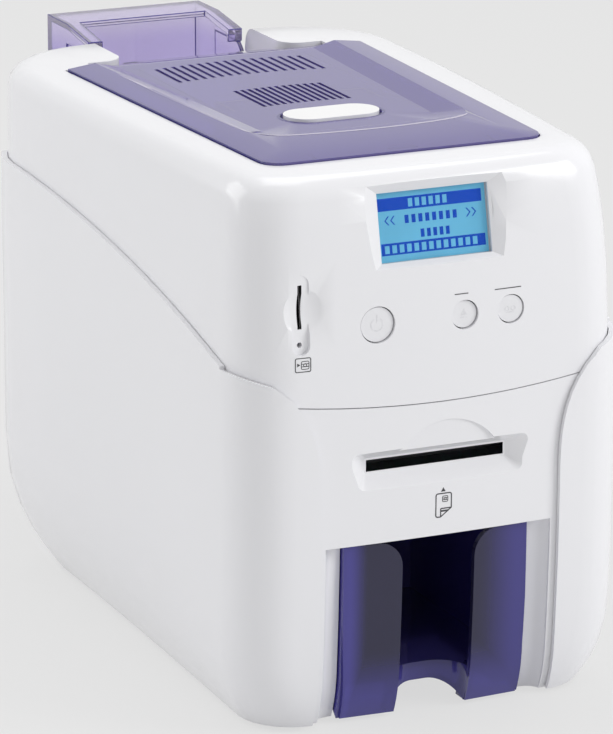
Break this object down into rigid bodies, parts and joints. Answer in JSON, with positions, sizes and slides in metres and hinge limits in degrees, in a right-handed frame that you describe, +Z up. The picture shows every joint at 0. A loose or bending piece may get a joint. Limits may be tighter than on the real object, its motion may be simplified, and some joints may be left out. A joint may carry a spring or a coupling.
{
  "type": "id card printer",
  "caption": "Desktop ID card printer: curved white housing, hinged see-through lid, rear input hopper, front output hopper, display, buttons and geared roller feed.",
  "frame": {"origin": "middle of the footprint, on the surface that the feet stand on", "axes": "+Z up, the front with the output hopper towards -Y, +X to the right seen from the front"},
  "size_m": [0.173, 0.311, 0.2163],
  "materials": {
    "cover_white": "smooth moulded white",
    "tray_grey": "fine texture",
    "foot_rubber": "matt",
    "lid_violet": "see-through, polished",
    "hopper_violet": "see-through, polished",
    "tray_violet": "see-through, polished",
    "button_white": "polished",
    "button_grey": "satin",
    "display_glass": "polished",
    "circuit_board": "satin",
    "inner_black": "satin",
    "zinc_steel": "zinc plated",
    "shaft_steel": "ground",
    "guide_plastic": "satin",
    "bush_bronze": "sintered",
    "roller_rubber": "ground",
    "cleaning_rubber": "tacky",
    "gear_nylon": "moulded",
    "pinion_brass": "cut",
    "motor_case": "satin",
    "cassette_grey": "satin",
    "ribbon_dye": "glossy film",
    "head_aluminium": "finned, anodised"
  },
  "bodies": {
    "housing": {"base_tray": "tray_grey", "rubber_feet": "foot_rubber", "front_panel": "cover_white", "upper_cover": "cover_white", "rear_panel": "cover_white", "left_side_cover": "cover_white", "right_side_cover": "cover_white", "lid_hinge_pins": "shaft_steel", "lcd_window": "display_glass", "lcd_module": "circuit_board", "button_board": "circuit_board", "chip_reader": "inner_black", "left_frame": "zinc_steel", "right_frame": "zinc_steel", "tie_rods": "shaft_steel", "card_guide": "guide_plastic", "shaft_bushes": "bush_bronze", "idler_pins": "shaft_steel", "feed_motor": "motor_case", "ribbon_cassette": "cassette_grey", "ribbon_film": "ribbon_dye", "ribbon_motor": "zinc_steel", "main_board": "circuit_board", "power_inlet": "inner_black", "usb_socket": "zinc_steel"},
    "lid": {"top_lid": "lid_violet", "head_bracket": "zinc_steel", "print_head": "head_aluminium"},
    "lid_catch_button": {"lid_button": "button_white"},
    "input_tray": {"input_hopper": "hopper_violet"},
    "output_tray": {"output_hopper": "tray_violet"},
    "power_key": {"power_button": "button_grey"},
    "eject_key": {"eject_button": "button_grey"},
    "ribbon_key": {"ribbon_button": "button_grey"},
    "platen": {"platen_roller": "roller_rubber", "platen_gear": "gear_nylon"},
    "front_feed": {"front_roller": "roller_rubber", "front_gear": "gear_nylon"},
    "rear_feed": {"rear_roller": "roller_rubber", "rear_gear": "gear_nylon"},
    "pick": {"pick_roller": "roller_rubber", "pick_gear": "gear_nylon"},
    "front_idler_wheel": {"front_idler": "gear_nylon"},
    "rear_idler_wheel": {"rear_idler": "gear_nylon"},
    "pick_idler_wheel": {"pick_idler": "gear_nylon"},
    "motor_wheel": {"motor_pinion": "pinion_brass"},
    "front_pinch": {"front_pinch_roller": "shaft_steel"},
    "rear_pinch": {"rear_pinch_roller": "shaft_steel"},
    "cleaner": {"cleaning_roller": "cleaning_rubber"},
    "takeup_drive": {"takeup_gear": "gear_nylon"},
    "takeup": {"takeup_spool": "ribbon_dye"},
    "supply": {"supply_spool": "ribbon_dye"},
    "ribbon_wheel": {"ribbon_pinion": "pinion_brass"}
  },
  "joints": [
    {"name": "lid_hinge", "type": "hinge", "parent": "housing", "child": "lid", "pos_m": [0, 0.07854, 0.2055], "axis": [-1, 0, 0], "range_deg": [0, 95]},
    {"name": "lid_button_press", "type": "slide", "parent": "lid", "child": "lid_catch_button", "axis": [0, 0, -1], "range_m": [0, 0.0025], "stiffness_N_per_m": 200},
    {"name": "power_press", "type": "slide", "parent": "housing", "child": "power_key", "axis": [0, 1, 0], "range_m": [0, 0.001], "stiffness_N_per_m": 500},
    {"name": "eject_press", "type": "slide", "parent": "housing", "child": "eject_key", "axis": [0, 1, 0], "range_m": [0, 0.001], "stiffness_N_per_m": 500},
    {"name": "ribbon_press", "type": "slide", "parent": "housing", "child": "ribbon_key", "axis": [0, 1, 0], "range_m": [0, 0.001], "stiffness_N_per_m": 500},
    {"name": "input_tray_slide", "type": "slide", "parent": "housing", "child": "input_tray", "axis": [0, 1, 0], "range_m": [0, 0.09]},
    {"name": "output_tray_slide", "type": "slide", "parent": "housing", "child": "output_tray", "axis": [0, -1, 0], "range_m": [0, 0.09]},
    {"name": "platen_spin", "type": "hinge", "parent": "housing", "child": "platen", "pos_m": [0, -0.02646, 0.0954], "axis": [1, 0, 0], "continuous": true},
    {"name": "front_feed_spin", "type": "hinge", "parent": "housing", "child": "front_feed", "pos_m": [0, -0.10546, 0.0954], "axis": [1, 0, 0], "continuous": true},
    {"name": "rear_feed_spin", "type": "hinge", "parent": "housing", "child": "rear_feed", "pos_m": [0, 0.04754, 0.0954], "axis": [1, 0, 0], "continuous": true},
    {"name": "pick_spin", "type": "hinge", "parent": "housing", "child": "pick", "pos_m": [0, 0.08454, 0.0953], "axis": [1, 0, 0], "continuous": true},
    {"name": "front_idler_spin", "type": "hinge", "parent": "housing", "child": "front_idler_wheel", "pos_m": [0, -0.06596, 0.10171], "axis": [1, 0, 0], "continuous": true},
    {"name": "rear_idler_spin", "type": "hinge", "parent": "housing", "child": "rear_idler_wheel", "pos_m": [0, 0.01054, 0.08871], "axis": [1, 0, 0], "continuous": true},
    {"name": "pick_idler_spin", "type": "hinge", "parent": "housing", "child": "pick_idler_wheel", "pos_m": [0, 0.0656, 0.08888], "axis": [1, 0, 0], "continuous": true},
    {"name": "motor_spin", "type": "hinge", "parent": "housing", "child": "motor_wheel", "pos_m": [0, 0.02562, 0.05779], "axis": [1, 0, 0], "continuous": true},
    {"name": "front_pinch_spin", "type": "hinge", "parent": "housing", "child": "front_pinch", "pos_m": [0, -0.10546, 0.10766], "axis": [1, 0, 0], "continuous": true},
    {"name": "rear_pinch_spin", "type": "hinge", "parent": "housing", "child": "rear_pinch", "pos_m": [0, 0.04754, 0.10766], "axis": [1, 0, 0], "continuous": true},
    {"name": "cleaner_spin", "type": "hinge", "parent": "housing", "child": "cleaner", "pos_m": [0, 0.02054, 0.10916], "axis": [1, 0, 0], "continuous": true},
    {"name": "takeup_drive_spin", "type": "hinge", "parent": "housing", "child": "takeup_drive", "pos_m": [0, -0.08946, 0.14], "axis": [1, 0, 0], "continuous": true},
    {"name": "takeup_spin", "type": "hinge", "parent": "housing", "child": "takeup", "pos_m": [0, -0.08946, 0.14], "axis": [1, 0, 0], "continuous": true},
    {"name": "supply_spin", "type": "hinge", "parent": "housing", "child": "supply", "pos_m": [0, 0.01854, 0.14], "axis": [1, 0, 0], "continuous": true},
    {"name": "ribbon_pinion_spin", "type": "hinge", "parent": "housing", "child": "ribbon_wheel", "pos_m": [0, -0.08946, 0.1176], "axis": [1, 0, 0], "continuous": true}
  ],
  "couplings": [
    {"joint": "front_feed_spin", "follows": "platen_spin", "ratio": 1},
    {"joint": "rear_feed_spin", "follows": "platen_spin", "ratio": 1},
    {"joint": "pick_spin", "follows": "platen_spin", "ratio": 0.92308},
    {"joint": "front_idler_spin", "follows": "platen_spin", "ratio": -0.31579},
    {"joint": "rear_idler_spin", "follows": "platen_spin", "ratio": -0.34286},
    {"joint": "pick_idler_spin", "follows": "platen_spin", "ratio": -1},
    {"joint": "motor_spin", "follows": "platen_spin", "ratio": 1.5},
    {"joint": "front_pinch_spin", "follows": "platen_spin", "ratio": -1.3},
    {"joint": "rear_pinch_spin", "follows": "platen_spin", "ratio": -1.3},
    {"joint": "cleaner_spin", "follows": "platen_spin", "ratio": -1},
    {"joint": "takeup_spin", "follows": "takeup_drive_spin", "ratio": 1},
    {"joint": "supply_spin", "follows": "takeup_drive_spin", "ratio": 0.80769},
    {"joint": "ribbon_pinion_spin", "follows": "takeup_drive_spin", "ratio": -2.5}
  ]
}
